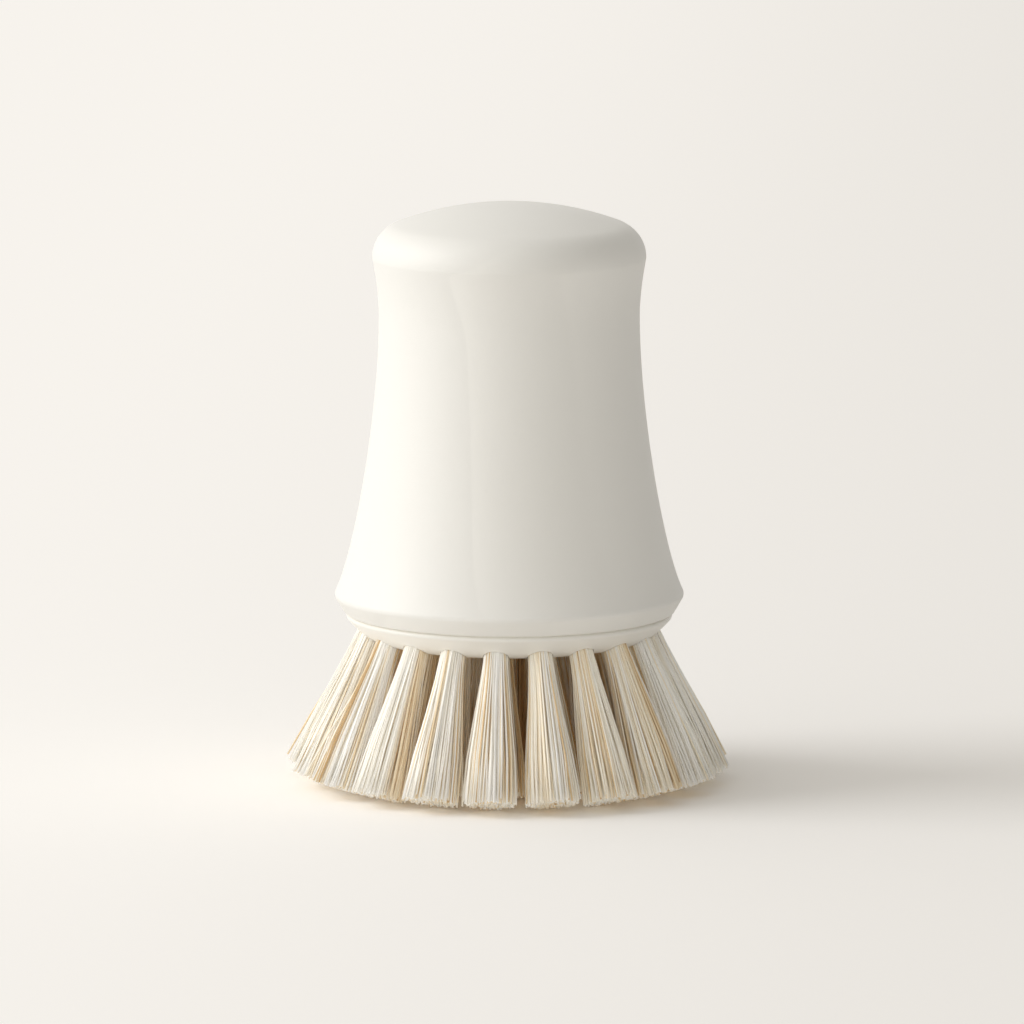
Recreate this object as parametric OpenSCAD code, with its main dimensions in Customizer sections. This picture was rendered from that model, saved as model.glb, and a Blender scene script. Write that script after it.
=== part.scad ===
// Palm brush: a hollow turned-looking handle on a round screw-in brush head, standing on its bristles.
// Millimetres, +Z up. The origin is on the brush's axis, at the floor that the bristle tips touch.

/* [Handle] */
// Height of the whole brush, from the floor to the top of the crown
overall_h = 101.6; // [100.4:0.2:103]
// Radius of the crown's shallow dome
crown_r = 56.5; // [50:0.5:64]
// Radius that rolls the crown over into the side
shoulder_r = 6.2; // [5:0.1:7.5]
// Diameter of the knob at its widest
knob_d = 47.5; // [46.5:0.1:49]
// Diameter of the waist under the knob
waist_d = 45.3; // [44.6:0.1:46.2]
// Height of the waist above the floor
waist_h = 82; // [80:0.1:83]
// Diameter of the skirt, at the corner where flare and chamfer would meet
skirt_d = 61; // [60.4:0.1:62]
// Height of that corner above the floor
skirt_h = 33.2; // [32.8:0.1:33.6]
// Angle of the flare from the vertical at that corner
skirt_angle = 25; // [22:1:30]
// Radius that softens the corner
skirt_corner_r = 1.4; // [1:0.1:2.4]
// Diameter of the rim at the foot of the chamfer
rim_d = 57.6; // [57.2:0.1:58.4]
// Wall thickness of the moulded shell
wall = 3; // [2.6:0.1:3.2]

/* [Brush plate] */
// Height of the plate's underside above the floor
face_h = 25.4; // [25.1:0.1:25.7]
// Height of the plate's shoulder, which faces the handle's rim
shoulder_h = 30; // [29.8:0.1:30.2]
// Diameter of the plate at its widest, just under the seam
plate_d = 57.1; // [56.6:0.1:57.4]
// Diameter of the flat underside inside the rounded edge
face_d = 44; // [42:0.5:46]
// Height of the seam between the plate and the handle's rim
seam = 0.3; // [0.3:0.05:0.5]
// Diameter of the register that centres the plate in the handle's mouth
register_d = 51.4; // [51.2:0.1:51.8]
// Height of the top of the register above the floor
register_h = 34.3; // [34.2:0.1:34.5]

/* [Quick thread] */
// Rise of the handle in one full turn of the three-start thread
thread_lead = 18; // [17:0.5:18]
// Outer diameter of the threaded collar
neck_d = 39; // [38.6:0.1:39.2]
// Height of the top of the collar above the floor
neck_top_h = 45.5; // [45.3:0.1:45.8]
// Wall thickness of the collar
neck_wall = 2.7; // [2.2:0.1:3]
// Height of a lug or ledge out of the wall that carries it
lug_rise = 1.6; // [1.4:0.1:1.6]
// Angle that each lug spans
lug_span = 40; // [36:1:42]
// Angle that each ledge spans
ledge_span = 95; // [90:1:98]

/* [Tufts] */
// Diameter of a drilled tuft hole
hole_d = 4.5; // [4.4:0.05:4.6]
// Depth of a tuft hole above the plate's underside
hole_depth = 7; // [6.5:0.1:7.2]
// Height above the underside of the point that every tuft's axis passes through
fan_h = 61; // [58:1:68]
// Share of its tilt by which a tuft's tips are trimmed nearer to level
level_share = 0.15; // [0:0.05:0.4]
// Tufts in the outer ring
outer_n = 20; // [18:1:20]
// Radius of the outer ring, on the underside
outer_r = 24.6; // [24.4:0.1:24.8]
// Tufts in the middle ring
middle_n = 14; // [12:1:14]
// Radius of the middle ring, on the underside
middle_r = 16.6; // [16.2:0.1:16.8]
// Tufts in the inner ring
inner_n = 8; // [6:1:8]
// Radius of the inner ring, on the underside
inner_r = 8.9; // [8.6:0.1:9.2]

/* [Hidden] */
$fn = 96;

// Angle of the first tuft in each ring, from the right-hand side, with one ring staggered from the next
OUTER_PHASE = -5.4;
MIDDLE_PHASE = 7.5;
INNER_PHASE = 14;

// A ring of tufts: name, count, radius, phase, radius of the flared tips, and the strands
// at the heart of each tuft and around them
RINGS = [
    ["tuft_outer", outer_n, outer_r, OUTER_PHASE, 5.0, 3, 9],
    ["tuft_middle", middle_n, middle_r, MIDDLE_PHASE, 4.8, 3, 8],
    ["tuft_inner", inner_n, inner_r, INNER_PHASE, 4.5, 1, 7],
    ["tuft_centre", 1, 0, 0, 4.4, 1, 7],
];

function ring_name(ring) = ring[0];
function ring_count(ring) = ring[1];
function ring_radius(ring) = ring[2];
function ring_phase(ring) = ring[3];
function ring_tip_r(ring) = ring[4];
function ring_heart(ring) = ring[5];
function ring_around(ring) = ring[6];

function tuft_name(ring, i) = ring_count(ring) == 1 ? ring_name(ring) : str(ring_name(ring), "_", i + 1);

// Handle: derived sizes
knob_r = knob_d / 2;
waist_r = waist_d / 2;
rim_r = rim_d / 2;
rim_h = shoulder_h + seam;
crown_centre_h = overall_h - crown_r;
crown_angle = asin((knob_r - shoulder_r) / (crown_r - shoulder_r));
knob_h = crown_centre_h + sqrt(pow(crown_r - shoulder_r, 2) - pow(knob_r - shoulder_r, 2));
// Lengths of the control arms that shape the two curves meeting at the waist
knob_arm = 0.6;
waist_arm_up = 5.1;
waist_arm_down = 16.6;
skirt_arm = 8;

// Handle: inside of the shell
running_gap = 0.3;
mouth_r = register_d / 2 + running_gap;
seal_t = 0.8;
seal_gap = 0.05;
seat_h = register_h + seal_t + 2 * seal_gap;
cavity_corner_r = 4;
cavity_draft = 0.3;

// Thread: the lug's lower flank bears on the ledge's upper flank
starts = 3;
neck_r = neck_d / 2;
lug_r = neck_r + lug_rise;
groove_r = lug_r + running_gap;
insert_wall = 1.4;
insert_r = groove_r + insert_wall;
weld_gap = 0.05;
// The collar stands in a groove of this depth in the plate
collar_root = 1;
ceiling_gap = 1;
ceiling_h = neck_top_h + ceiling_gap;
ceiling_t = 1.6;
insert_top_h = ceiling_h + ceiling_t;
// Half the axial thickness of a lug or ledge at its root and at its crest
flank_root = 1.3;
flank_crest = 0.9;
// Axial distance between the middle of a ledge and of the lug that it carries
lug_over_ledge = 2.45;
// Height of the middle of a ledge at its low end, flush with the insert's lower edge
ledge_start_h = seat_h + flank_root;
// How far a lug or ledge is rooted in its wall, and the gap from a ledge's crest to the collar
bar_sink = 0.3;
crest_gap = 0.5;

// Tufts
hole_r = hole_d / 2;
fibre_gap = 0.05;
plug_r = hole_r - fibre_gap;
// The plug of folded fibres fills the hole down to here, above the underside's plane
plug_end = 1.8;
plug_top = hole_depth;
// How far a strand's root is buried in the plug
strand_bury = 0.4;
// The strands run straight to here, just under the mouth, and flare below it
flare_start = -1;
// Radius of a circle round the strands where they leave the plug
bundle_r = 1.93;
// Radius at which the outer strands stand in the plug, and the size of their sections
around_r = 1.6;
around_size = 0.55;
heart_r = 0.62;
heart_size = 0.5;
core_size = 0.7;
// The tips would reach this far under the floor and are cut flat at it
tip_cut = 0.5;
floor_cut = 5;
// The longest and shortest strands of one tuft differ by this
tip_ragged = 0.7;
// Flat metal anchor that holds a folded tuft in its hole
anchor_t = 0.4;
anchor_h = 1.8;
anchor_bite = 0.3;
anchor_foot = plug_top - fibre_gap - anchor_h;

function tuft_tilt(radius) = atan(radius / fan_h);
function ring_angle(ring, i) = ring_phase(ring) + i * 360 / ring_count(ring);

// A point at parameter t of a cubic curve from a to d, with control points b and c
function cubic(a, b, c, d, t) =
    pow(1 - t, 3) * a + 3 * t * pow(1 - t, 2) * b + 3 * t * t * (1 - t) * c + pow(t, 3) * d;

// Points of the arc about centre with radius r, with angles counted from straight up, a0 to a1 in n steps
function arc(centre, r, a0, a1, n) =
    [for (i = [0:n]) let (a = a0 + (a1 - a0) * i / n) centre + r * [sin(a), cos(a)]];

function unit(v) = v / norm(v);

// The skirt's soft corner: an arc tangent to the flare above it and the chamfer below it
skirt_corner = [skirt_d / 2, skirt_h];
flare_dir = [sin(skirt_angle), -cos(skirt_angle)];
chamfer_dir = unit([rim_r, rim_h] - skirt_corner);
corner_turn = acos(flare_dir * chamfer_dir);
corner_setback = skirt_corner_r * tan(corner_turn / 2);
flare_end = skirt_corner - corner_setback * flare_dir;
corner_centre = flare_end - skirt_corner_r * [cos(skirt_angle), sin(skirt_angle)];
corner_from = 90 - skirt_angle;

// The handle's outline from the crown down to its rim
crown_steps = 8;
shoulder_steps = 9;
neck_steps = 9;
skirt_steps = 20;
corner_steps = 5;
crown_line = arc([0, crown_centre_h], crown_r, 0, crown_angle, crown_steps);
shoulder_line = arc([knob_r - shoulder_r, knob_h], shoulder_r, crown_angle, 90, shoulder_steps);
neck_line = [
    for (i = [1:neck_steps])
        cubic(
            [knob_r, knob_h],
            [knob_r, knob_h - knob_arm],
            [waist_r, waist_h + waist_arm_up],
            [waist_r, waist_h],
            i / neck_steps
        )
];
function skirt_point(t) = cubic(
    [waist_r, waist_h],
    [waist_r, waist_h - waist_arm_down],
    flare_end - skirt_arm * flare_dir,
    flare_end,
    t
);
skirt_line = [for (i = [1:skirt_steps]) skirt_point(i / skirt_steps)];
corner_line = arc(corner_centre, skirt_corner_r, corner_from, corner_from + corner_turn, corner_steps);

function without_first(list) = [for (i = [1:len(list) - 1]) list[i]];

handle_outline = concat(
    crown_line,
    without_first(shoulder_line),
    neck_line,
    skirt_line,
    without_first(corner_line),
    [[rim_r, rim_h]]
);

// The inside of the shell from its mouth up to the crown: the mouth, the seat of the insert, a low wall
// round the insert's top, and the hollow, which tapers upward so that its core can be drawn
hollow_steps = 6;
seat_land = 0.4;
seat_wall_h = 1;
seat_wall_slope = 0.3;
core_top_r = waist_r - wall - cavity_draft;
cavity_crown_r = crown_r - wall;
cavity_angle = asin((core_top_r - cavity_corner_r) / (cavity_crown_r - cavity_corner_r));
cavity_h = crown_centre_h
    + sqrt(pow(cavity_crown_r - cavity_corner_r, 2) - pow(core_top_r - cavity_corner_r, 2));
cavity_skirt = [
    for (i = [skirt_steps:-1:0])
        let (p = skirt_point(i / skirt_steps))
        if (p[1] > insert_top_h + seat_wall_h) [p[0] - wall, p[1]]
];
cavity_foot_r = min(cavity_skirt[0][0] + seat_wall_slope, insert_r - seat_land);
shell_inside = concat(
    [
        [mouth_r, rim_h],
        [mouth_r, seat_h],
        [insert_r + weld_gap, seat_h],
        [insert_r + weld_gap, insert_top_h],
        [cavity_foot_r, insert_top_h],
    ],
    cavity_skirt,
    arc([core_top_r - cavity_corner_r, cavity_h], cavity_corner_r, 90, cavity_angle, hollow_steps),
    without_first(arc([0, crown_centre_h], cavity_crown_r, cavity_angle, 0, hollow_steps))
);

// Chamfer on the top edges of the register and the collar
chamfer = 0.6;

// The plate's rounded edge, from the flat underside up to its widest
plate_r = plate_d / 2;
face_r = face_d / 2;
edge_round = 0.15;
edge_arm_in = 2.6;
edge_arm_out = [2.2, 2.5];
edge_steps = 8;
edge_top = [plate_r, shoulder_h - 2 * edge_round];
edge_start = [face_r, face_h];
plate_edge = [
    for (i = [0:edge_steps])
        cubic(edge_start, edge_start + [edge_arm_in, 0], edge_top - edge_arm_out, edge_top, i / edge_steps)
];

// A helical bar from angle a0 over the given span. Its middle starts at height z0 and climbs with the thread,
// and its section tapers from half thickness inner_half at inner_r to outer_half at outer_r
module helical_bar(inner_r, inner_half, outer_r, outer_half, a0, span, z0) {
    step_angle = 8;
    steps = ceil(span / step_angle);
    points = [
        for (i = [0:steps])
            let (turn = span * i / steps)
            let (out = [cos(a0 + turn), sin(a0 + turn)], z = z0 + thread_lead * turn / 360)
            each [
                [inner_r * out[0], inner_r * out[1], z - inner_half],
                [outer_r * out[0], outer_r * out[1], z - outer_half],
                [outer_r * out[0], outer_r * out[1], z + outer_half],
                [inner_r * out[0], inner_r * out[1], z + inner_half],
            ]
    ];
    sides = [
        for (i = [0:steps - 1])
            for (k = [0:3])
                let (p = 4 * i + k, q = 4 * i + (k + 1) % 4)
                each [[p, q, q + 4], [p, q + 4, p + 4]]
    ];
    last = 4 * steps;
    caps = [[2, 1, 0], [3, 2, 0], [last, last + 1, last + 2], [last, last + 2, last + 3]];
    polyhedron(points = points, faces = concat(caps, sides));
}

// Places its children at tuft i of a ring: the origin on the underside's plane, -Z along the tuft
module at_tuft(ring, i) {
    rotate([0, 0, ring_angle(ring, i)])
        translate([ring_radius(ring), 0, face_h])
            rotate([0, -tuft_tilt(ring_radius(ring)), 0])
                children();
}

module at_every_tuft() {
    for (ring = RINGS)
        for (i = [0:ring_count(ring) - 1])
            at_tuft(ring, i)
                children();
}

// Length below the underside's plane of a strand end at local x, before the ragged shortening
function tuft_length(tilt, tip_r, x) =
    (face_h + tip_cut - tip_r * sin(tilt)) / cos(tilt) + (x + tip_r) * tan(level_share * tilt);

// Radius, angle and section size of each strand of a tuft where it leaves the plug
function strand_places(ring) = concat(
    [for (k = [1:ring_around(ring)]) [around_r, k * 360 / ring_around(ring), around_size]],
    ring_heart(ring) == 1
        ? [[0, 0, core_size]]
        : [for (k = [1:ring_heart(ring)]) [heart_r, (k + 0.5) * 360 / ring_heart(ring), heart_size]]
);

// Triangular section of a strand at such a place, with one corner toward the tuft's axis
function strand_section(place) = [
    for (k = [0:2])
        let (a = place[1], turned = a + 180 + 120 * k)
        place[0] * [cos(a), sin(a)] + place[2] * [cos(turned), sin(turned)]
];

// The least distance between corners of two strands of a tuft, measured where they leave the plug
function least_strand_gap(ring) =
    let (sections = [for (place = strand_places(ring)) strand_section(place)], n = len(sections))
    min([
        for (i = [0:n - 2]) for (j = [i + 1:n - 1]) for (p = sections[i]) for (q = sections[j]) norm(p - q)
    ]);

// One strand: straight out of the plug to the mouth, then flaring to its trimmed tip, which ends short of
// the longest one's by the given length
module strand(place, tilt, tip_r, short) {
    grow = tip_r / bundle_r;
    root = strand_section(place);
    points = concat(
        [for (p = root) [p[0], p[1], plug_end + strand_bury]],
        [for (p = root) [p[0], p[1], flare_start]],
        [for (p = root) let (q = grow * p) [q[0], q[1], short - tuft_length(tilt, tip_r, q[0])]]
    );
    sides = [
        for (i = [0, 3])
            for (k = [0:2])
                let (p = i + k, q = i + (k + 1) % 3)
                each [[p, q, q + 3], [p, q + 3, p + 3]]
    ];
    polyhedron(points = points, faces = concat([[2, 1, 0]], sides, [[6, 7, 8]]));
}

// The plug of folded fibres in the hole, slotted where the anchor crosses it
module plug() {
    difference() {
        translate([0, 0, plug_end])
            cylinder(r = plug_r, h = plug_top - plug_end);
        translate([-anchor_t / 2 - fibre_gap, -hole_r, anchor_foot - fibre_gap])
            cube([anchor_t + 2 * fibre_gap, hole_d, hole_depth]);
    }
}

module tuft(ring, i) {
    tilt = tuft_tilt(ring_radius(ring));
    places = strand_places(ring);
    ragged = rands(0, tip_ragged, len(places), 10 * ring_count(ring) + i);
    color("cornsilk")
        difference() {
            at_tuft(ring, i) {
                plug();
                for (k = [0:len(places) - 1])
                    strand(places[k], tilt, ring_tip_r(ring), places[k][0] == 0 ? 0 : ragged[k]);
            }
            translate([-skirt_d, -skirt_d, -floor_cut])
                cube([2 * skirt_d, 2 * skirt_d, floor_cut]);
        }
}

// Flat metal anchors, one across the blind end of each hole, biting into the plate on both sides
module tuft_anchors() {
    color("silver")
        at_every_tuft()
            translate([-anchor_t / 2, -hole_r - anchor_bite, anchor_foot])
                cube([anchor_t, hole_d + 2 * anchor_bite, anchor_h]);
}

// Brush plate with its register and the groove for the collar, drilled for the tufts
module brush_plate() {
    drill_start = -4;
    collar_outside = neck_r + weld_gap;
    collar_inside = neck_r - neck_wall - weld_gap;
    color("ivory")
        difference() {
            rotate_extrude()
                polygon(concat(
                    [[0, face_h]],
                    plate_edge,
                    [
                        [plate_r - edge_round, shoulder_h],
                        [register_d / 2, shoulder_h],
                        [register_d / 2, register_h - chamfer],
                        [register_d / 2 - chamfer, register_h],
                        [collar_outside, register_h],
                        [collar_outside, register_h - collar_root],
                        [collar_inside, register_h - collar_root],
                        [collar_inside, register_h],
                        [0, register_h],
                    ]
                ));
            at_every_tuft()
                translate([0, 0, drill_start])
                    cylinder(r = hole_r, h = hole_depth - drill_start, $fn = 48);
        }
}

// Collar welded into the plate, with three lugs that hang on the ledges in the handle
module threaded_collar() {
    lug_start = ledge_span - lug_span;
    lug_start_h = ledge_start_h + lug_over_ledge + thread_lead * lug_start / 360;
    color("oldlace") {
        rotate_extrude()
            polygon([
                [neck_r - neck_wall, register_h - collar_root],
                [neck_r, register_h - collar_root],
                [neck_r, neck_top_h - chamfer],
                [neck_r - chamfer, neck_top_h],
                [neck_r - neck_wall, neck_top_h],
            ]);
        for (k = [0:starts - 1])
            helical_bar(neck_r - bar_sink, flank_root, lug_r, flank_crest,
                k * 360 / starts + lug_start, lug_span, lug_start_h);
    }
}

// Flat rubber ring that the handle's step presses on the register
module seal_ring() {
    lug_pass_gap = 1.6;
    color("gainsboro")
        translate([0, 0, register_h + seal_gap])
            difference() {
                cylinder(r = mouth_r - 2 * running_gap, h = seal_t);
                translate([0, 0, -seal_t])
                    cylinder(r = lug_r + lug_pass_gap, h = 3 * seal_t);
            }
}

// Threaded cup welded into the handle, closed above so that no water reaches the hollow
module socket_insert() {
    color("linen") {
        rotate_extrude()
            polygon([
                [groove_r, seat_h],
                [insert_r, seat_h],
                [insert_r, insert_top_h],
                [0, insert_top_h],
                [0, ceiling_h],
                [groove_r, ceiling_h],
            ]);
        for (k = [0:starts - 1])
            helical_bar(neck_r + crest_gap, flank_crest, groove_r + bar_sink, flank_root,
                k * 360 / starts, ledge_span, ledge_start_h);
    }
}

// Moulded handle shell: crown, knob, waist and flared skirt in one hollow piece
module handle_shell() {
    color("whitesmoke")
        rotate_extrude()
            polygon(concat(handle_outline, shell_inside));
}

handle_shell();
socket_insert();
seal_ring();
brush_plate();
threaded_collar();
tuft_anchors();
for (ring = RINGS)
    for (i = [0:ring_count(ring) - 1])
        tuft(ring, i);

echo(least_strand_gap_mm = min([for (ring = RINGS) least_strand_gap(ring)]));
echo(strands = [for (ring = RINGS) ring_count(ring) * (ring_heart(ring) + ring_around(ring))]);
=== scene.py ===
"""Palm brush: the moulded handle, its twist-off head and every tuft's fibres, in a pale studio.

Lengths are in metres unless a name says millimetres. The brush stands on its bristle tips at the
origin, with +Z up and the camera on the -Y side.
"""

import logging
import math
from dataclasses import dataclass
from enum import Enum

import bpy
import numpy as np
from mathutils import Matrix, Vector


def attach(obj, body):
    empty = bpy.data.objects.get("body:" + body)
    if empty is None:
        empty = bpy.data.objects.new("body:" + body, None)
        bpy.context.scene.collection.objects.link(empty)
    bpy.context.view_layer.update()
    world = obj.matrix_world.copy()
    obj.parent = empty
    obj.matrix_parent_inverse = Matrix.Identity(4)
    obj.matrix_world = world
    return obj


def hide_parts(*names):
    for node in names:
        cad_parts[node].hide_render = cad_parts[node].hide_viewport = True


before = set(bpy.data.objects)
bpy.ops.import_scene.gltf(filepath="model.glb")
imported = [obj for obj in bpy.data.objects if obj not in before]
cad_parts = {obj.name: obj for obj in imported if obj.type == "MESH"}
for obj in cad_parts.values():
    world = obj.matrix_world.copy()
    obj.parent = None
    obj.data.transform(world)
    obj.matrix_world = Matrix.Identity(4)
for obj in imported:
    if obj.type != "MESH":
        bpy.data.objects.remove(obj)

MM = 0.001
TONE = "tone"
FACE_H = 25.4 * MM
HOLE_R = 2.25 * MM
log = logging.getLogger("palm_brush")

Point2 = tuple[float, float]
Colour = tuple[float, float, float]
FibreShape = tuple[np.ndarray, list[tuple[int, ...]]]


class Body(Enum):
    """The parts of the brush that move as one."""

    HEAD = "brush_head"
    SEAL = "seal"
    HANDLE = "handle"


class Slot(Enum):
    """The finishes that the part's record names."""

    SHELL = "shell"
    PLATE = "plate"
    INSERT = "insert"
    SEAL = "seal"
    ANCHOR = "anchor"
    BRISTLE = "bristle"


def from_srgb(red: int, green: int, blue: int) -> Colour:
    """Turns a colour as seen on a screen into the linear values that a shader takes.

    Args:
        red: Red from 0 to 255.
        green: Green from 0 to 255.
        blue: Blue from 0 to 255.

    Returns:
        The linear red, green and blue, each from 0 to 1.
    """
    shares = (channel / 255 for channel in (red, green, blue))
    return tuple(c / 12.92 if c <= 0.04045 else ((c + 0.055) / 1.055) ** 2.4 for c in shares)


# Curves that the outlines are drawn from


def arc(centre: Point2, radius: float, start: float, end: float, steps: int) -> list[Point2]:
    """Draws an arc, with its angles counted from straight up towards the outside.

    Args:
        centre: Radius and height of the arc's centre.
        radius: Radius of the arc.
        start: First angle in degrees.
        end: Last angle in degrees.
        steps: Number of straight steps.

    Returns:
        The points of the arc, both ends among them.
    """
    angles = [math.radians(start + (end - start) * i / steps) for i in range(steps + 1)]
    return [(centre[0] + radius * math.sin(a), centre[1] + radius * math.cos(a)) for a in angles]


def cubic(a: Point2, b: Point2, c: Point2, d: Point2, steps: int) -> list[Point2]:
    """Draws a cubic curve.

    Args:
        a: Its first point.
        b: The control point after it.
        c: The control point before the last point.
        d: Its last point.
        steps: Number of straight steps.

    Returns:
        The points of the curve, both ends among them.
    """
    points = []
    for i in range(steps + 1):
        t = i / steps
        shares = ((1 - t) ** 3, 3 * t * (1 - t) ** 2, 3 * t * t * (1 - t), t**3)
        points.append(tuple(sum(s * p[k] for s, p in zip(shares, (a, b, c, d))) for k in (0, 1)))
    return points


def rounded(corners: list[tuple[float, float, float]], steps: int = 4) -> list[Point2]:
    """Draws a line through corners, each softened by an arc that is tangent to its two sides.

    Args:
        corners: Radius, height and softening radius of each corner. The first and last stay sharp.
        steps: Number of straight steps in each arc.

    Returns:
        The points of the softened line.
    """
    points = [corners[0][:2]]
    for before, corner, after in zip(corners, corners[1:], corners[2:]):
        here = Vector(corner[:2])
        to_before = (Vector(before[:2]) - here).normalized()
        to_after = (Vector(after[:2]) - here).normalized()
        if corner[2] <= 0:
            points.append(tuple(here))
            continue
        half = to_before.angle(to_after) / 2
        setback = corner[2] / math.tan(half)
        middle = here + (to_before + to_after).normalized() * corner[2] / math.sin(half)
        first = here + to_before * setback - middle
        last = here + to_after * setback - middle
        turn = first.angle_signed(last)
        for i in range(steps + 1):
            a = -turn * i / steps
            spoke = Vector((
                first.x * math.cos(a) - first.y * math.sin(a),
                first.x * math.sin(a) + first.y * math.cos(a),
            ))
            points.append(tuple(middle + spoke))
    points.append(corners[-1][:2])
    return points


# Modelling steps shared by the pieces


def deselect_all() -> None:
    """Leaves nothing selected, so that the next step acts on its own piece alone."""
    for obj in bpy.context.selected_objects:
        obj.select_set(False)


def activate(obj: bpy.types.Object) -> None:
    """Makes one object the selected and active one."""
    deselect_all()
    obj.select_set(True)
    bpy.context.view_layer.objects.active = obj


def name_piece(name: str) -> bpy.types.Object:
    """Names the active object and its mesh.

    Args:
        name: The new name.

    Returns:
        The object.
    """
    obj = bpy.context.active_object
    obj.name = name
    obj.data.name = name
    return obj


def lathe(name: str, outline: list[Point2], steps: int, closed: bool) -> bpy.types.Object:
    """Turns an outline round the Z axis into a solid of revolution.

    Args:
        name: Name of the piece.
        outline: Radius and height of each point, in order.
        steps: Number of steps in the full turn.
        closed: Whether the outline's last point joins its first.

    Returns:
        The turned piece, with its normals outward.
    """
    deselect_all()
    bpy.ops.mesh.primitive_plane_add(size=MM, location=(outline[0][0], 0, outline[0][1]))
    bpy.ops.object.transform_apply(location=True)
    piece = name_piece(name)
    bpy.ops.object.mode_set(mode="EDIT")
    bpy.ops.mesh.select_all(action="SELECT")
    bpy.ops.mesh.merge(type="CENTER")
    path = outline[1:] + outline[:1] if closed else outline[1:]
    here = outline[0]
    for point in path:
        move = (point[0] - here[0], 0, point[1] - here[1])
        bpy.ops.mesh.extrude_region_move(TRANSFORM_OT_translate={"value": move})
        here = point
    bpy.ops.mesh.select_all(action="SELECT")
    bpy.ops.mesh.remove_doubles(threshold=MM / 1000)
    bpy.ops.mesh.select_all(action="SELECT")
    bpy.ops.mesh.spin(steps=steps, angle=math.tau, center=(0, 0, 0), axis=(0, 0, 1))
    bpy.ops.mesh.select_all(action="SELECT")
    bpy.ops.mesh.remove_doubles(threshold=MM / 1000)
    bpy.ops.mesh.normals_make_consistent(inside=False)
    bpy.ops.object.mode_set(mode="OBJECT")
    return piece


def smooth(piece: bpy.types.Object, angle: float) -> None:
    """Shades a piece smooth, but for edges sharper than an angle in degrees."""
    activate(piece)
    bpy.ops.object.shade_smooth_by_angle(angle=math.radians(angle))


def dress(piece: bpy.types.Object, material: bpy.types.Material) -> None:
    """Gives a piece its material."""
    piece.data.materials.clear()
    piece.data.materials.append(material)


def report(piece: bpy.types.Object, body: Body) -> None:
    """Logs a finished piece with its body and its number of faces."""
    log.info("%s rides on %s, %d faces", piece.name, body.value, len(piece.data.polygons))


# Finishes


class NodeTree:
    """A short way to add and link the nodes of a material."""

    def __init__(self, name: str) -> None:
        """Starts a material that holds only its shader and its output."""
        self.material = bpy.data.materials.new(name)
        self.material.use_nodes = True
        self.nodes = self.material.node_tree.nodes
        self.links = self.material.node_tree.links
        self.shader = self.nodes["Principled BSDF"]

    def add(self, kind: str, **inputs: float) -> bpy.types.Node:
        """Adds a node.

        Args:
            kind: The node's type.
            **inputs: Values for its sockets, named in lower case with _ for a space.

        Returns:
            The new node.
        """
        node = self.nodes.new(kind)
        for key, value in inputs.items():
            wanted = key.replace("_", " ")
            socket = next(s for s in node.inputs if s.name.lower() == wanted)
            socket.default_value = value
        return node

    def link(self, source: bpy.types.NodeSocket, target: bpy.types.NodeSocket) -> None:
        """Links one socket to another."""
        self.links.new(source, target)

    def noise(self, scale: float, detail: float = 2, roughness: float = 0.5) -> bpy.types.Node:
        """Adds noise that is fixed to the piece.

        Args:
            scale: Lumps to the metre.
            detail: Number of finer layers.
            roughness: How strong the finer layers are.

        Returns:
            The noise node.
        """
        place = self.nodes.new("ShaderNodeTexCoord")
        node = self.add("ShaderNodeTexNoise", scale=scale, detail=detail, roughness=roughness)
        self.link(place.outputs["Object"], node.inputs["Vector"])
        return node

    def spread(self, source: bpy.types.NodeSocket, low: float, high: float) -> bpy.types.NodeSocket:
        """Maps a value from 0..1 to low..high.

        Args:
            source: The socket with the value.
            low: The result for 0.
            high: The result for 1.

        Returns:
            The socket with the mapped value.
        """
        node = self.add("ShaderNodeMapRange", to_min=low, to_max=high)
        self.link(source, node.inputs["Value"])
        return node.outputs["Result"]

    def blend(self, share: bpy.types.NodeSocket, first: Colour,
              second: Colour) -> bpy.types.NodeSocket:
        """Mixes two colours by a share.

        Args:
            share: The socket with the share of the second colour.
            first: Linear colour at 0.
            second: Linear colour at 1.

        Returns:
            The socket with the mixed colour.
        """
        node = self.nodes.new("ShaderNodeValToRGB")
        node.color_ramp.elements[0].color = (*first, 1)
        node.color_ramp.elements[1].color = (*second, 1)
        self.link(share, node.inputs["Fac"])
        return node.outputs["Color"]

    def bump(self, height: bpy.types.NodeSocket, distance: float, strength: float) -> None:
        """Raises the surface by a height, in metres at full strength."""
        node = self.add("ShaderNodeBump", distance=distance, strength=strength)
        self.link(height, node.inputs["Height"])
        self.link(node.outputs["Normal"], self.shader.inputs["Normal"])


@dataclass(frozen=True)
class MouldedPlastic:
    """Off-white moulded plastic with a fine eroded grain and a slight drift of tone."""

    name: str
    light: Colour
    dark: Colour
    roughness: float
    grain: float
    grain_scale: float
    unevenness: float = 0.03

    def material(self) -> bpy.types.Material:
        """Builds the material.

        Returns:
            The material.
        """
        tree = NodeTree(self.name)
        shader = tree.shader
        drift = tree.noise(scale=45, detail=3, roughness=0.55)
        tone = tree.blend(drift.outputs["Fac"], self.dark, self.light)
        tree.link(tone, shader.inputs["Base Color"])
        polish = tree.noise(scale=160, detail=2)
        low, high = self.roughness - self.unevenness, self.roughness + self.unevenness
        tree.link(tree.spread(polish.outputs["Fac"], low, high), shader.inputs["Roughness"])
        grain = tree.noise(scale=self.grain_scale, detail=3, roughness=0.6)
        tree.bump(grain.outputs["Fac"], distance=self.grain, strength=0.6)
        shader.inputs["IOR"].default_value = 1.5
        return tree.material


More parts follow.
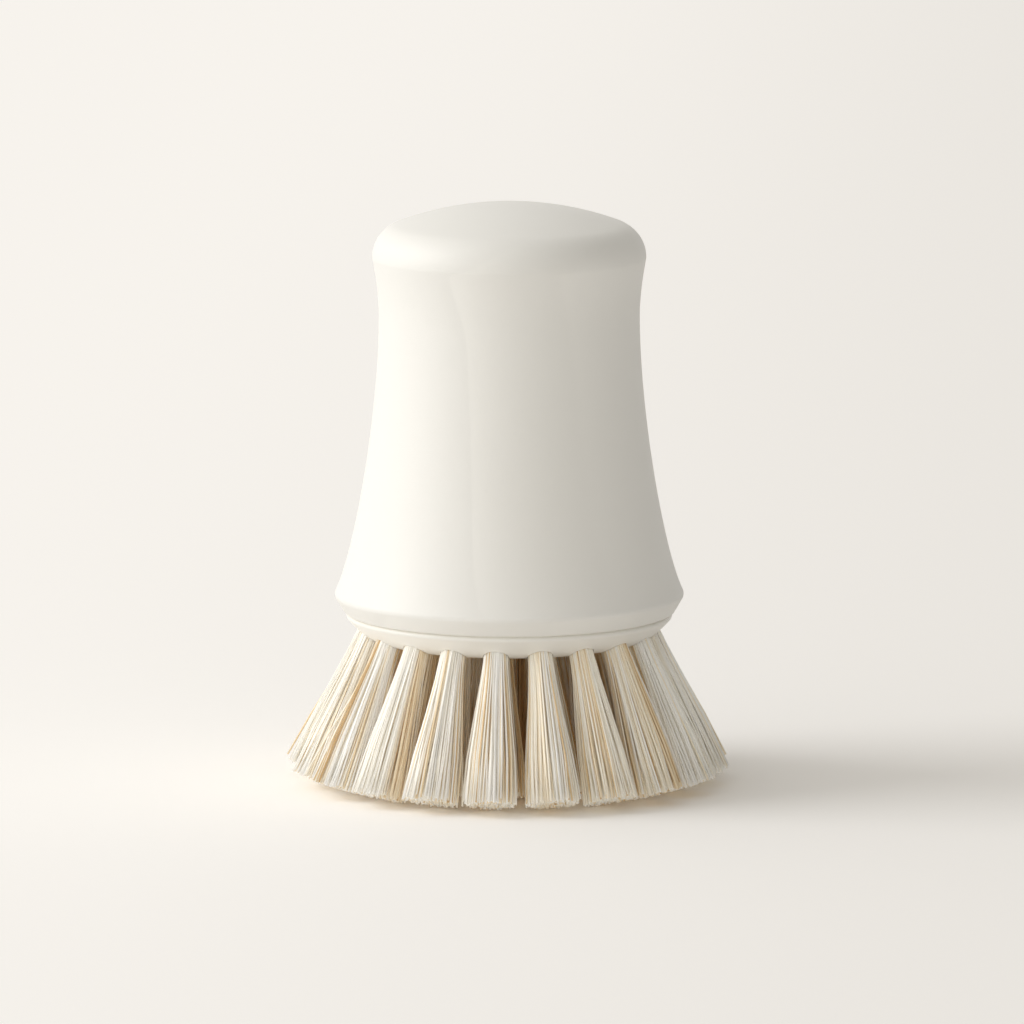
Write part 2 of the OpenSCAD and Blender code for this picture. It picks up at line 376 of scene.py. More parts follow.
@dataclass(frozen=True)
class PlatedSteel:
    """Flat wire with a dull nickel plating and drawing lines."""

    name: str
    colour: Colour = from_srgb(196, 192, 184)
    dulling: float = 0.8

    def material(self) -> bpy.types.Material:
        """Builds the material.

        Returns:
            The material.
        """
        tree = NodeTree(self.name)
        tree.shader.inputs["Metallic"].default_value = 1.0
        drift = tree.noise(scale=900, detail=2)
        dull = tuple(self.dulling * c for c in self.colour)
        tone = tree.blend(drift.outputs["Fac"], dull, self.colour)
        tree.link(tone, tree.shader.inputs["Base Color"])
        lines = tree.noise(scale=4000, detail=1)
        tree.link(tree.spread(lines.outputs["Fac"], 0.3, 0.5), tree.shader.inputs["Roughness"])
        tree.bump(lines.outputs["Fac"], distance=0.01 * MM, strength=0.4)
        return tree.material


@dataclass(frozen=True)
class PlantFibre:
    """Bleached plant fibre. Each fibre's tone runs from white through straw to brown."""

    name: str
    sheen: float = 0.1
    mottling: float = 0.1
    tones: tuple[tuple[float, Colour], ...] = (
        (0.0, from_srgb(255, 254, 251)),
        (0.3, from_srgb(255, 251, 240)),
        (0.55, from_srgb(250, 236, 209)),
        (0.8, from_srgb(235, 211, 169)),
        (1.0, from_srgb(209, 174, 124)),
    )

    def material(self) -> bpy.types.Material:
        """Builds the material, which reads the fibres' own tone.

        Returns:
            The material.
        """
        tree = NodeTree(self.name)
        shader = tree.shader
        tone = tree.nodes.new("ShaderNodeAttribute")
        tone.attribute_name = TONE
        ramp = tree.nodes.new("ShaderNodeValToRGB")
        points = ramp.color_ramp.elements
        while len(points) < len(self.tones):
            points.new(0.5)
        for point, (place, colour) in zip(points, self.tones):
            point.position = place
            point.color = (*colour, 1)
        mottle = tree.noise(scale=260, detail=3, roughness=0.6)
        shift = tree.spread(mottle.outputs["Fac"], -self.mottling, self.mottling)
        total = tree.nodes.new("ShaderNodeMath")
        tree.link(tone.outputs["Fac"], total.inputs[0])
        tree.link(shift, total.inputs[1])
        tree.link(total.outputs["Value"], ramp.inputs["Fac"])
        tree.link(ramp.outputs["Color"], shader.inputs["Base Color"])
        gloss = tree.noise(scale=1400, detail=2)
        tree.link(tree.spread(gloss.outputs["Fac"], 0.35, 0.6), shader.inputs["Roughness"])
        shader.inputs["Sheen Weight"].default_value = self.sheen
        return tree.material


# The handle


@dataclass
class Handle:
    """The hollow moulded handle: crown, knob, waist, flared skirt and chamfered rim."""

    overall_h: float = 101.6 * MM
    crown_r: float = 56.5 * MM
    shoulder_r: float = 6.2 * MM
    knob_r: float = 23.75 * MM
    knob_arm: float = 0.6 * MM
    waist_r: float = 22.65 * MM
    waist_h: float = 82.0 * MM
    waist_arm_up: float = 5.1 * MM
    waist_arm_down: float = 16.6 * MM
    skirt_r: float = 30.5 * MM
    skirt_h: float = 33.2 * MM
    skirt_angle: float = 25.0
    skirt_arm: float = 8.0 * MM
    skirt_corner_r: float = 1.2 * MM
    rim_r: float = 28.8 * MM
    rim_h: float = 30.3 * MM
    rim_edge_r: float = 0.2 * MM
    mouth_r: float = 26.0 * MM
    seat_h: float = 35.2 * MM
    hollow_r: float = 19.5 * MM
    hollow_foot_r: float = 22.35 * MM
    hollow_foot_h: float = 48.2 * MM
    wall: float = 3.0 * MM
    hollow_bend_h: float = 72.0 * MM
    hollow_bend_r: float = 30.0 * MM
    hollow_top_drop: float = 2.0 * MM
    hollow_top_r: float = 6.0 * MM
    crown_steps: int = 22
    neck_steps: int = 20
    skirt_steps: int = 48
    corner_steps: int = 14
    turn_steps: int = 224
    sharp_angle: float = 50.0
    finish: MouldedPlastic = MouldedPlastic(
        name="eggshell_plastic",
        light=(0.845, 0.834, 0.797),
        dark=(0.83, 0.819, 0.78),
        roughness=0.5,
        grain=0.035 * MM,
        grain_scale=3800,
    )

    def skirt_end(self) -> tuple[list[Point2], Vector]:
        """Draws the soft corner between the flare and the chamfer.

        Returns:
            The points of the corner and the direction in which the flare reaches it.
        """
        angle = math.radians(self.skirt_angle)
        flare = Vector((math.sin(angle), -math.cos(angle)))
        corner = Vector((self.skirt_r, self.skirt_h))
        chamfer = (Vector((self.rim_r, self.rim_h)) - corner).normalized()
        turn = math.degrees(flare.angle(chamfer))
        setback = self.skirt_corner_r * math.tan(math.radians(turn / 2))
        start = corner - setback * flare
        centre = start - self.skirt_corner_r * Vector((math.cos(angle), math.sin(angle)))
        first = 90 - self.skirt_angle
        corner_arc = arc(tuple(centre), self.skirt_corner_r, first, first + turn, self.corner_steps)
        return corner_arc, flare

    def outside(self) -> list[Point2]:
        """Draws the outline from the top of the crown to the rim.

        Returns:
            Radius and height of each point.
        """
        crown_h = self.overall_h - self.crown_r
        reach = self.crown_r - self.shoulder_r
        inward = self.knob_r - self.shoulder_r
        crown_angle = math.degrees(math.asin(inward / reach))
        knob_h = crown_h + math.sqrt(reach**2 - inward**2)
        corner, flare = self.skirt_end()
        waist = (self.waist_r, self.waist_h)
        flare_arm = tuple(Vector(corner[0]) - self.skirt_arm * flare)
        neck = cubic(
            (self.knob_r, knob_h),
            (self.knob_r, knob_h - self.knob_arm),
            (self.waist_r, self.waist_h + self.waist_arm_up),
            waist,
            self.neck_steps,
        )
        skirt = cubic(
            waist,
            (self.waist_r, self.waist_h - self.waist_arm_down),
            flare_arm,
            corner[0],
            self.skirt_steps,
        )
        crown = arc((0, crown_h), self.crown_r, 0, crown_angle, self.crown_steps)
        shoulder = arc((inward, knob_h), self.shoulder_r, crown_angle, 90, self.crown_steps)
        return crown + shoulder[1:] + neck[1:] + skirt[1:] + corner[1:]

    def inside(self) -> list[Point2]:
        """Draws the outline from the rim, through the mouth and the hollow, to the crown's inside.

        Returns:
            Radius and height of each point.
        """
        edge = self.rim_edge_r
        top_h = self.overall_h - self.wall
        return rounded([
            ((self.rim_r + self.skirt_r) / 2, (self.rim_h + self.skirt_h) / 2, 0),
            (self.rim_r, self.rim_h, edge),
            (self.mouth_r, self.rim_h, edge),
            (self.mouth_r, self.seat_h, edge),
            (self.hollow_foot_r, self.seat_h, edge),
            (self.hollow_foot_r, self.hollow_foot_h, edge),
            (self.hollow_r, self.hollow_bend_h, self.hollow_bend_r),
            (self.hollow_r, top_h - self.hollow_top_drop, self.hollow_top_r),
            (0, top_h, 0),
        ], steps=8)[1:]

    def build(self) -> bpy.types.Object:
        """Models the handle and hangs it on its body.

        Returns:
            The finished piece.
        """
        outline = self.outside() + self.inside()
        piece = lathe("moulded_handle", outline, self.turn_steps, closed=False)
        smooth(piece, self.sharp_angle)
        dress(piece, self.finish.material())
        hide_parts("handle_shell")
        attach(piece, Body.HANDLE.value)
        report(piece, Body.HANDLE)
        return piece


# The brush head


@dataclass(frozen=True)
class Ring:
    """One ring of tufts on the plate."""

    node: str
    count: int
    radius: float
    phase: float
    tip_radius: float
    fibres: int
    # Painted shade: the inner rings' fibres are pushed towards brown by this much, so that the
    # shaded gaps between the front tufts look warm.
    painted_gap_shade: float
    numbered: bool = True

    def names(self) -> list[str]:
        """Names the tufts of the ring, as the model's nodes are named."""
        return [f"{self.node}_{i + 1}" if self.numbered else self.node for i in range(self.count)]

    def angle(self, index: int) -> float:
        """Gives the angle of one tuft round the axis, in radians."""
        return math.radians(self.phase + index * 360 / self.count)


# The middle, inner and centre rings carry painted shade: their tones are pushed towards brown where
# the gaps between the tufts lie in shade.
RINGS = (
    Ring(
        node="tuft_outer", count=20, radius=24.6 * MM, phase=-5.4,
        tip_radius=5.0 * MM, fibres=320, painted_gap_shade=0.0,
    ),
    Ring(
        node="tuft_middle", count=14, radius=16.6 * MM, phase=7.5,
        tip_radius=5.3 * MM, fibres=280, painted_gap_shade=0.24,
    ),
    Ring(
        node="tuft_inner", count=8, radius=8.9 * MM, phase=14.0,
        tip_radius=4.7 * MM, fibres=220, painted_gap_shade=0.3,
    ),
    Ring(
        node="tuft_centre", count=1, radius=0.0, phase=0.0,
        tip_radius=4.5 * MM, fibres=220, painted_gap_shade=0.3, numbered=False,
    ),
)


@dataclass
class TuftSeat:
    """Where one tuft sits: its axis on the plate's underside and its lean."""

    ring: Ring
    index: int
    fan_h: float = 61.0 * MM

    def lean(self) -> float:
        """Gives the tuft's lean from the vertical, in radians."""
        return math.atan(self.ring.radius / self.fan_h)

    def axes(self) -> np.ndarray:
        """Gives the seat's own axes.

        Returns:
            Three rows: outward along the plate, round the plate, and up along the tuft.
        """
        turn, lean = self.ring.angle(self.index), self.lean()
        out = np.array([math.cos(turn), math.sin(turn), 0.0])
        up = np.array([0.0, 0.0, 1.0])
        along_up = up * math.cos(lean) - out * math.sin(lean)
        across = out * math.cos(lean) + up * math.sin(lean)
        return np.array([across, np.cross(along_up, across), along_up])

    def origin(self) -> np.ndarray:
        """Gives the point where the tuft's axis meets the plane of the underside."""
        turn, radius = self.ring.angle(self.index), self.ring.radius
        return np.array([radius * math.cos(turn), radius * math.sin(turn), FACE_H])

    def place(self, local: np.ndarray) -> np.ndarray:
        """Moves points from the seat's own axes to the brush's.

        Args:
            local: Points on the seat's axes, in their last dimension.

        Returns:
            The same points on the brush's axes.
        """
        return self.origin() + local @ self.axes()


def all_seats() -> list[TuftSeat]:
    """Lists the seat of every tuft, ring by ring."""
    return [TuftSeat(ring, i) for ring in RINGS for i in range(ring.count)]


@dataclass
class BrushPlate:
    """The round plate: rounded edge, drilled holes, seam bead, register and the collar's groove."""

    plate_r: float = 28.55 * MM
    face_r: float = 22.0 * MM
    shoulder_h: float = 30.0 * MM
    shoulder_edge_r: float = 0.5 * MM
    bead_r: float = 28.0 * MM
    bead_width: float = 0.5 * MM
    bead_rise: float = 0.26 * MM
    edge_arm_in: float = 2.6 * MM
    edge_arm_out: Point2 = (2.2 * MM, 2.5 * MM)
    register_r: float = 25.7 * MM
    register_h: float = 34.3 * MM
    groove_r: float = 19.55 * MM
    groove_inner_r: float = 16.75 * MM
    groove_depth: float = 1.0 * MM
    chamfer: float = 0.6 * MM
    edge_r: float = 0.15 * MM
    hole_depth: float = 7.0 * MM
    hole_sides: int = 64
    drill_reach: float = 4.0 * MM
    edge_steps: int = 24
    turn_steps: int = 224
    sharp_angle: float = 35.0
    finish: MouldedPlastic = MouldedPlastic(
        name="satin_plastic",
        light=(0.865, 0.848, 0.80),
        dark=(0.85, 0.833, 0.782),
        roughness=0.42,
        grain=0.015 * MM,
        grain_scale=3000,
    )

    def outline(self) -> list[Point2]:
        """Draws the outline from the middle of the underside round to the middle of the top.

        Returns:
            Radius and height of each point.
        """
        start = (self.face_r, FACE_H)
        end = (self.plate_r, self.shoulder_h - self.shoulder_edge_r)
        edge = cubic(
            start,
            (start[0] + self.edge_arm_in, start[1]),
            (end[0] - self.edge_arm_out[0], end[1] - self.edge_arm_out[1]),
            end,
            self.edge_steps,
        )
        bead_inner_r = self.bead_r - self.bead_width
        bead_h = self.shoulder_h + self.bead_rise
        groove_h = self.register_h - self.groove_depth
        upper = rounded([
            (*edge[-2], 0),
            (self.plate_r, self.shoulder_h, self.shoulder_edge_r),
            (self.bead_r, self.shoulder_h, 0),
            (self.bead_r, bead_h, 0),
            (bead_inner_r, bead_h, 0),
            (bead_inner_r, self.shoulder_h, 0),
            (self.register_r, self.shoulder_h, self.edge_r),
            (self.register_r, self.register_h, self.chamfer),
            (self.groove_r, self.register_h, self.edge_r),
            (self.groove_r, groove_h, 0),
            (self.groove_inner_r, groove_h, 0),
            (self.groove_inner_r, self.register_h, self.edge_r),
            (0, self.register_h, 0),
        ])
        return [(0, FACE_H)] + edge[:-1] + upper[1:]

    def drills(self) -> bpy.types.Object:
        """Models the drill bits, one on every tuft's axis, as one mesh.

        Returns:
            The joined bits.
        """
        deselect_all()
        bits = []
        for seat in all_seats():
            middle = seat.place(np.array([0, 0, (self.hole_depth - self.drill_reach) / 2]))
            bpy.ops.mesh.primitive_cylinder_add(
                vertices=self.hole_sides,
                radius=HOLE_R,
                depth=self.hole_depth + self.drill_reach,
                location=middle,
                rotation=(0, -seat.lean(), seat.ring.angle(seat.index)),
            )
            bits.append(bpy.context.active_object)
        deselect_all()
        for bit in bits:
            bit.select_set(True)
        bpy.context.view_layer.objects.active = bits[0]
        bpy.ops.object.join()
        bpy.ops.object.transform_apply(location=True, rotation=True, scale=True)
        return bits[0]

    def build(self) -> bpy.types.Object:
        """Models the plate and drills it.

        Returns:
            The finished piece.
        """
        piece = lathe("drilled_plate", self.outline(), self.turn_steps, closed=False)
        bits = self.drills()
        activate(piece)
        cut = piece.modifiers.new("holes", "BOOLEAN")
        cut.operation = "DIFFERENCE"
        cut.solver = "EXACT"
        cut.object = bits
        bpy.ops.object.modifier_apply(modifier="holes")
        bpy.data.objects.remove(bits)
        smooth(piece, self.sharp_angle)
        dress(piece, self.finish.material())
        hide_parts("brush_plate")
        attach(piece, Body.HEAD.value)
        report(piece, Body.HEAD)
        return piece


# The fibres


@dataclass
class FibreTemplate:
    """One straight fibre, modelled once: a slim prism with rings along its length."""

    sides: int
    spans: int

    def build(self) -> FibreShape:
        """Models the fibre and takes its points and faces.

        Returns:
            The points, with x and y across and z as the number of the ring, and the faces.
        """
        deselect_all()
        bpy.ops.mesh.primitive_cylinder_add(vertices=self.sides, radius=1, depth=self.spans)
        fibre = bpy.context.active_object
        bpy.ops.object.mode_set(mode="EDIT")
        bpy.ops.mesh.select_all(action="DESELECT")
        bpy.ops.object.mode_set(mode="OBJECT")
        for edge in fibre.data.edges:
            ends = [fibre.data.vertices[v].co.z for v in edge.vertices]
            edge.select = abs(ends[0] - ends[1]) > self.spans / 2
        bpy.ops.object.mode_set(mode="EDIT")
        bpy.ops.mesh.subdivide(number_cuts=self.spans - 1)
        bpy.ops.object.mode_set(mode="OBJECT")
        points = np.array([v.co for v in fibre.data.vertices])
        points[:, 2] = np.round(self.spans / 2 - points[:, 2])
        faces = [tuple(p.vertices) for p in fibre.data.polygons]
        bpy.data.objects.remove(fibre)
        return points, faces


@dataclass
class Bristles:
    """Every tuft as its separate fibres: straight in the hole, flaring to trimmed tips."""

    fibre_r: float = 0.128 * MM
    fibre_sides: int = 4
    fibre_spread: tuple[float, float] = (0.75, 1.2)
    tip_swell: float = 1.4
    edge_margin: float = 1.3
    root_jitter: float = 0.25
    edge_calm: int = 6
    root: float = 4.7 * MM
    mouth: float = -0.4 * MM
    open_rise: float = 2.2 * MM
    ring_places: tuple[float, ...] = (0.0, 0.18, 0.42, 0.7, 1.0)
    easing: float = 0.05
    level_share: float = 0.15
    floor_gap: float = 0.05 * MM
    ragged: float = 0.45 * MM
    locks: int = 26
    lock_pull: float = 0.2
    lock_jitter: float = 0.17 * MM
    bow: float = 0.18 * MM
    stray_share: float = 0.013
    stray_reach: float = 2.6 * MM
    stray_throw: tuple[float, float] = (0.4, 1.0)
    lock_tone: float = 0.85
    lock_curve: tuple[float, float] = (0.9, 2.7)
    own_tone: float = 0.07
    streak_share: float = 0.13
    streak_tone: tuple[float, float] = (0.25, 0.6)
    first_seed: int = 1000
    ring_seeds: int = 100

    def scatter(self, count: int, rng: np.random.Generator) -> np.ndarray:
        """Packs the fibres' roots evenly over the hole.

        Args:
            count: Number of fibres.
            rng: Source of the jitter.

        Returns:
            The place of each root across the hole.
        """
        golden = math.pi * (3 - math.sqrt(5))
        k = np.arange(count) + 0.5
        radius = (HOLE_R - self.edge_margin * self.fibre_r) * np.sqrt(k / count)
        angle = golden * k + rng.uniform(0, math.tau)
        places = np.stack([radius * np.cos(angle), radius * np.sin(angle)], axis=1)
        jitter = rng.normal(0, self.root_jitter * self.fibre_r, places.shape)
        return places + jitter * (1 - (radius / HOLE_R) ** self.edge_calm)[:, None]

    def lock_of(self, places: np.ndarray,
                rng: np.random.Generator) -> tuple[np.ndarray, np.ndarray]:
        """Gathers the fibres into locks, which share a tone and draw together at their tips.

        Args:
            places: The place of each root.
            rng: Source of the locks.

        Returns:
            The lock of each fibre, and the middle of each lock.
        """
        radius = HOLE_R * np.sqrt(rng.uniform(0, 1, self.locks))
        angle = rng.uniform(0, math.tau, self.locks)
        seeds = np.stack([radius * np.cos(angle), radius * np.sin(angle)], axis=1)
        nearest = np.linalg.norm(places[:, None] - seeds[None], axis=2).argmin(axis=1)
        middles = np.array([
            places[nearest == i].mean(axis=0) if (nearest == i).any() else seeds[i]
            for i in range(self.locks)
        ])
        return nearest, middles

    def centrelines(self, seat: TuftSeat, places: np.ndarray, rng: np.random.Generator,
                    locks: np.ndarray, middles: np.ndarray) -> np.ndarray:
        """Runs a line down the middle of each fibre.

        Args:
            seat: The tuft's seat.
            places: The place of each root across the hole.
            rng: Source of the fibres' own bends and lengths.
            locks: The lock of each fibre.
            middles: The middle of each lock.

        Returns:
            For each fibre, its points from root to tip on the seat's axes.
        """
        count = len(places)
        lean = seat.lean()
        grow = (seat.ring.tip_radius - self.fibre_r) / (HOLE_R - self.fibre_r)
        tips = grow * (places + self.lock_pull * (middles[locks] - places))
        tips += rng.normal(0, self.lock_jitter, tips.shape)
        stray = rng.uniform(0, 1, count) < self.stray_share
        away = rng.uniform(0, math.tau, count)
        throw = np.stack([np.cos(away), np.sin(away)], axis=1) * self.stray_reach
        tips[stray] += throw[stray] * rng.uniform(*self.stray_throw, (stray.sum(), 1))
        reach = (FACE_H - seat.ring.tip_radius * math.sin(lean)) / math.cos(lean)
        level = math.tan(self.level_share * lean)
        length = reach + (tips[:, 0] + seat.ring.tip_radius) * level
        length -= np.abs(rng.normal(0, self.ragged, count))
        floor = (FACE_H + tips[:, 0] * math.sin(lean) - self.floor_gap) / math.cos(lean)
        length = np.minimum(length, floor)
        bend = rng.normal(0, self.bow, (count, 2))
        outward = np.clip(places[:, 0] / HOLE_R, 0, 1) * (seat.ring.radius / RINGS[0].radius)
        mouth = self.mouth + self.open_rise * outward
        lines = np.zeros((count, len(self.ring_places) + 1, 3))
        lines[:, 0] = np.column_stack([places, np.full(count, self.root)])
        for j, t in enumerate(self.ring_places):
            ease = t - self.easing * math.sin(math.tau * t)
            lines[:, j + 1, :2] = places + (tips - places) * ease + bend * math.sin(math.pi * t)
            lines[:, j + 1, 2] = mouth + (-length - mouth) * t
        return lines

    def tones(self, locks: np.ndarray, painted_gap_shade: float, rng: np.random.Generator) -> np.ndarray:
        """Chooses the tone of each fibre, most of it shared by its lock.

        Args:
            locks: The lock of each fibre.
            painted_gap_shade: Painted shade: how much further towards brown the tuft's ring is
                pushed, so that the shaded gaps between the tufts look warm brown.
            rng: Source of the tones.

        Returns:
            A tone from 0, white, to 1, brown, for each fibre.
        """
        shared = self.lock_tone * rng.beta(*self.lock_curve, self.locks)
        own = rng.normal(0, self.own_tone, len(locks))
        darker = rng.uniform(0, 1, len(locks)) < self.streak_share
        streak = darker * rng.uniform(*self.streak_tone, len(locks))
        # The ring's painted shade is added to every fibre's tone here.
        return np.clip(painted_gap_shade + shared[locks] + own + streak, 0, 1)

    def build_tuft(self, name: str, seat: TuftSeat, seed: int, shape: FibreShape,
                   material: bpy.types.Material) -> bpy.types.Object:
        """Lays a copy of the fibre along every centreline of one tuft.

        Args:
            name: The model's node that the tuft stands for.
            seat: The tuft's seat.
            seed: Seed of everything random in this tuft.
            shape: The fibre's points and faces.
            material: The fibres' material.

        Returns:
            The finished tuft.
        """
        rng = np.random.default_rng(seed)
        places = self.scatter(seat.ring.fibres, rng)
        locks, middles = self.lock_of(places, rng)
        lines = self.centrelines(seat, places, rng, locks, middles)
        points, faces = shape
        rings = points[:, 2].astype(int)
        spin = rng.uniform(0, math.tau, len(places))
        size = self.fibre_r * rng.uniform(*self.fibre_spread, len(places))
        swell = np.linspace(1.0, self.tip_swell, lines.shape[1])
        x, y = points[:, 0], points[:, 1]
        across_x = np.cos(spin)[:, None] * x - np.sin(spin)[:, None] * y
        across_y = np.sin(spin)[:, None] * x + np.cos(spin)[:, None] * y
        scale = size[:, None] * swell[rings][None]
        local = lines[:, rings].copy()
        local[:, :, 0] += across_x * scale
        local[:, :, 1] += across_y * scale
        world = seat.place(local).reshape(-1, 3)
        world[:, 2] = np.maximum(world[:, 2], 0.0)
        step = len(points)
        all_faces = [
            tuple(v + k * step for v in face) for k in range(len(places)) for face in faces
        ]
        mesh = bpy.data.meshes.new(name)
        mesh.from_pydata(world.tolist(), [], all_faces)
        mesh.update()
        tones = self.tones(locks, seat.ring.painted_gap_shade, rng)
        tone = mesh.attributes.new(TONE, "FLOAT", "POINT")
        tone.data.foreach_set("value", np.repeat(tones, step).astype(np.float32))
        mesh.polygons.foreach_set("use_smooth", [len(face) == 4 for face in all_faces])
        piece = bpy.data.objects.new(name.replace("tuft", "bristles"), mesh)
        bpy.context.scene.collection.objects.link(piece)
        dress(piece, material)
        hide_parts(name)
        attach(piece, Body.HEAD.value)
        report(piece, Body.HEAD)
        return piece

    def build(self) -> list[bpy.types.Object]:
        """Models every tuft.

        Returns:
            The finished tufts.
        """
        shape = FibreTemplate(self.fibre_sides, len(self.ring_places)).build()
        material = PlantFibre("plant_fibre").material()
        pieces = []
        for ring in RINGS:
            for index, name in enumerate(ring.names()):
                seed = self.first_seed + self.ring_seeds * ring.count + index
                pieces.append(self.build_tuft(name, TuftSeat(ring, index), seed, shape, material))
        return pieces


# The parts that stay as the model has them


@dataclass
class Fittings:
    """The welded-in thread, the seal and the tufts' anchors, which keep the model's own shapes."""

    def dress_all(self) -> None:
        """Gives each of them its finish."""
        insert = MouldedPlastic(
            name="insert_plastic",
            light=(0.76, 0.745, 0.70),
            dark=(0.74, 0.725, 0.68),
            roughness=0.45,
            grain=0.01 * MM,
            grain_scale=2500,
        )
        seal = MouldedPlastic(
            name="silicone_rubber",
            light=(0.62, 0.61, 0.59),
            dark=(0.6, 0.59, 0.57),
            roughness=0.6,
            grain=0.01 * MM,
            grain_scale=5000,
        )
        for node, finish, slot in (
            ("socket_insert", insert, Slot.INSERT),
            ("threaded_collar", insert, Slot.INSERT),
            ("seal_ring", seal, Slot.SEAL),
            ("tuft_anchors", PlatedSteel("plated_wire"), Slot.ANCHOR),
        ):
            dress(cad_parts[node], finish.material())
            log.info("%s takes the finish %s", node, finish.name)


# The studio


@dataclass(frozen=True)
class Lamp:
    """A broad, far lamp. Its azimuth counts in degrees from the front towards the left."""

    name: str
    azimuth: float
    elevation: float
    spread: float
    strength: float
    colour: Colour

    def place(self) -> None:
        """Sets up the lamp, which is below the floor where its elevation is below 0."""
        turn, rise = math.radians(self.azimuth), math.radians(self.elevation)
        level = math.cos(rise)
        source = Vector((-math.sin(turn) * level, -math.cos(turn) * level, math.sin(rise)))
        deselect_all()
        bpy.ops.object.light_add(type="SUN", location=source)
        lamp = bpy.context.active_object
        lamp.name = self.name
        lamp.data.angle = math.radians(self.spread)
        lamp.data.energy = self.strength
        lamp.data.color = self.colour
        lamp.rotation_euler = (-source).to_track_quat("-Z", "Y").to_euler()


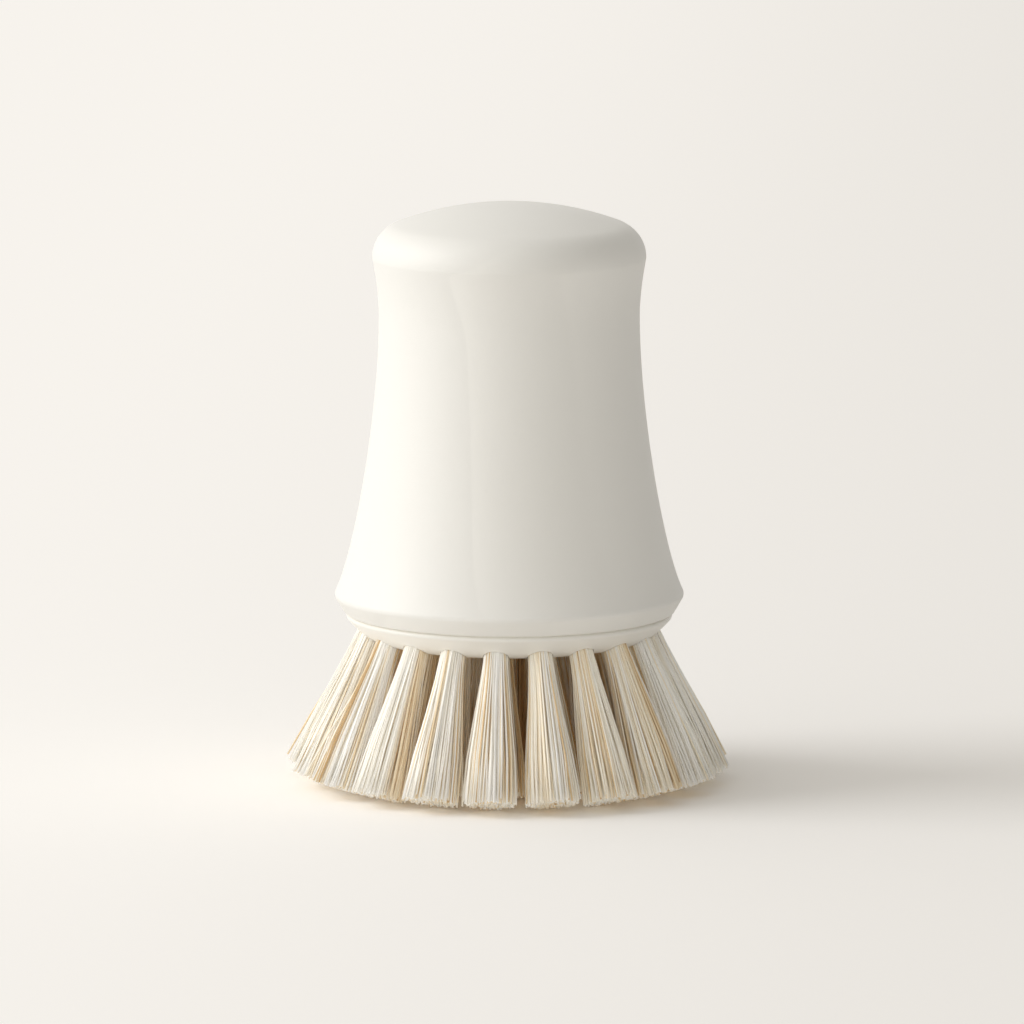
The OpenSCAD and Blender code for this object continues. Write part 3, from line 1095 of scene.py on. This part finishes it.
@dataclass
class Studio:
    """A pale floor, a broad key from the left, a fading sky, the table's bounce and the camera."""

    sweep: float = 12.0
    # Painted light: the floor's colour is paler on the key's side, on the left, and darker on the
    # right, as the key's light falls off.
    floor_painted_light: Colour = (0.95, 0.935, 0.92)
    floor_painted_shade: Colour = (0.825, 0.81, 0.793)
    floor_fade: float = 0.14
    floor_turn: float = 0.06
    floor_lift: float = 1.175
    fill_colour: Colour = (1.0, 0.97, 0.91)
    fill_left: float = 1.14
    fill_right: float = 0.14
    backdrop_colour: Colour = (0.86, 0.835, 0.80)
    key: Lamp = Lamp(
        name="key", azimuth=86, elevation=27, spread=42,
        strength=1.38, colour=(0.97, 0.98, 1.0),
    )
    bounce: Lamp = Lamp(
        name="bounce", azimuth=60, elevation=-70, spread=110,
        strength=1.4, colour=(1.0, 0.965, 0.9),
    )
    light_bounces: int = 24
    diffuse_bounces: int = 16
    camera_distance: float = 2.0
    camera_elevation: float = 8.7
    camera_target: tuple[float, float, float] = (0.47 * MM, 0.0, 47.5 * MM)
    focal_px: float = 11500.0
    picture_px: float = 1024.0
    sensor_mm: float = 36.0

    def paper(self) -> bpy.types.Material:
        """Makes the floor's paper with painted light, paler on the side of the key and darker on
        the right, and as bright as the photograph's.

        From below, the camera looks through it, so that the tips can be seen.

        Returns:
            The material.
        """
        tree = NodeTree("paper_sweep")
        paper = tree.nodes.new("ShaderNodeBsdfDiffuse")
        place = tree.nodes.new("ShaderNodeTexCoord")
        parts = tree.nodes.new("ShaderNodeSeparateXYZ")
        tree.link(place.outputs["Object"], parts.inputs["Vector"])
        share = tree.nodes.new("ShaderNodeMapRange")
        share.interpolation_type = "SMOOTHSTEP"
        share.inputs["From Min"].default_value = -self.floor_fade
        share.inputs["From Max"].default_value = self.floor_fade
        across = tree.add("ShaderNodeMath")
        across.operation = "MULTIPLY_ADD"
        across.inputs[1].default_value = -self.floor_turn
        tree.link(parts.outputs["Y"], across.inputs[0])
        tree.link(parts.outputs["X"], across.inputs[2])
        tree.link(across.outputs["Value"], share.inputs["Value"])
        # Painted light: the floor's colour blends from the pale, lit left side to the darker right
        # side.
        shade = tree.blend(share.outputs["Result"], self.floor_painted_light, self.floor_painted_shade)
        ray = tree.nodes.new("ShaderNodeLightPath")
        lift = tree.nodes.new("ShaderNodeVectorMath")
        lift.operation = "SCALE"
        tree.link(shade, lift.inputs[0])
        seen = ray.outputs["Is Camera Ray"]
        tree.link(tree.spread(seen, 1.0, self.floor_lift), lift.inputs["Scale"])
        tree.link(lift.outputs["Vector"], paper.inputs["Color"])
        side = tree.nodes.new("ShaderNodeNewGeometry")
        both = tree.nodes.new("ShaderNodeMath")
        both.operation = "MULTIPLY"
        tree.link(seen, both.inputs[0])
        tree.link(side.outputs["Backfacing"], both.inputs[1])
        clear = tree.nodes.new("ShaderNodeBsdfTransparent")
        mix = tree.nodes.new("ShaderNodeMixShader")
        tree.link(both.outputs["Value"], mix.inputs["Fac"])
        tree.link(paper.outputs["BSDF"], mix.inputs[1])
        tree.link(clear.outputs["BSDF"], mix.inputs[2])
        tree.link(mix.outputs["Shader"], tree.nodes["Material Output"].inputs["Surface"])
        return tree.material

    def add_floor(self) -> None:
        """Lays the floor under the bristle tips. It lets the bounce through from below."""
        deselect_all()
        bpy.ops.mesh.primitive_plane_add(size=self.sweep)
        floor = name_piece("floor")
        floor.data.materials.append(self.paper())
        floor.visible_shadow = False

    def add_sky(self) -> None:
        """Fills the studio from the left, less towards the right, and shows the backdrop."""
        world = bpy.data.worlds.new("studio")
        world.use_nodes = True
        nodes, links = world.node_tree.nodes, world.node_tree.links
        fill = nodes["Background"]
        fill.inputs["Color"].default_value = (*self.fill_colour, 1)
        direction = nodes.new("ShaderNodeTexCoord")
        parts = nodes.new("ShaderNodeSeparateXYZ")
        level = nodes.new("ShaderNodeMapRange")
        level.inputs["From Min"].default_value = 1
        level.inputs["From Max"].default_value = -1
        level.inputs["To Min"].default_value = self.fill_right
        level.inputs["To Max"].default_value = self.fill_left
        links.new(direction.outputs["Generated"], parts.inputs["Vector"])
        links.new(parts.outputs["X"], level.inputs["Value"])
        links.new(level.outputs["Result"], fill.inputs["Strength"])
        backdrop = nodes.new("ShaderNodeBackground")
        backdrop.inputs["Color"].default_value = (*self.backdrop_colour, 1)
        ray = nodes.new("ShaderNodeLightPath")
        seen = ray.outputs["Is Camera Ray"]
        for kind in ("Is Glossy Ray", "Is Transmission Ray"):
            either = nodes.new("ShaderNodeMath")
            either.operation = "MAXIMUM"
            links.new(seen, either.inputs[0])
            links.new(ray.outputs[kind], either.inputs[1])
            seen = either.outputs["Value"]
        mix = nodes.new("ShaderNodeMixShader")
        links.new(seen, mix.inputs["Fac"])
        links.new(fill.outputs["Background"], mix.inputs[1])
        links.new(backdrop.outputs["Background"], mix.inputs[2])
        links.new(mix.outputs["Shader"], nodes["World Output"].inputs["Surface"])
        bpy.context.scene.world = world

    def add_camera(self) -> None:
        """Sets the camera at the photograph's height, distance and angle."""
        data = bpy.data.cameras.new("camera")
        data.sensor_width = self.sensor_mm
        data.lens = self.focal_px * self.sensor_mm / self.picture_px
        data.clip_start = 0.05
        data.clip_end = 50
        camera = bpy.data.objects.new("camera", data)
        bpy.context.scene.collection.objects.link(camera)
        rise = math.radians(self.camera_elevation)
        back = Vector((0, -math.cos(rise), math.sin(rise)))
        camera.location = Vector(self.camera_target) + back * self.camera_distance
        camera.rotation_euler = (-back).to_track_quat("-Z", "Y").to_euler()
        bpy.context.scene.camera = camera

    def build(self) -> None:
        """Sets up the whole studio."""
        scene = bpy.context.scene
        scene.view_settings.view_transform = "Standard"
        scene.cycles.max_bounces = self.light_bounces
        scene.cycles.diffuse_bounces = self.diffuse_bounces
        self.add_floor()
        self.add_sky()
        self.key.place()
        self.bounce.place()
        self.add_camera()


def corners(box: tuple[Vector, Vector]) -> list[list[float]]:
    """Turns a box into plain lists of numbers."""
    return [list(corner) for corner in box]


def main() -> None:
    """Builds the studio and the brush."""
    logging.basicConfig(level=logging.INFO, format="%(name)s: %(message)s")
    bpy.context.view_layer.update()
    Studio().build()
    Handle().build()
    BrushPlate().build()
    Bristles().build()
    Fittings().dress_all()


if __name__ == "__main__":
    main()
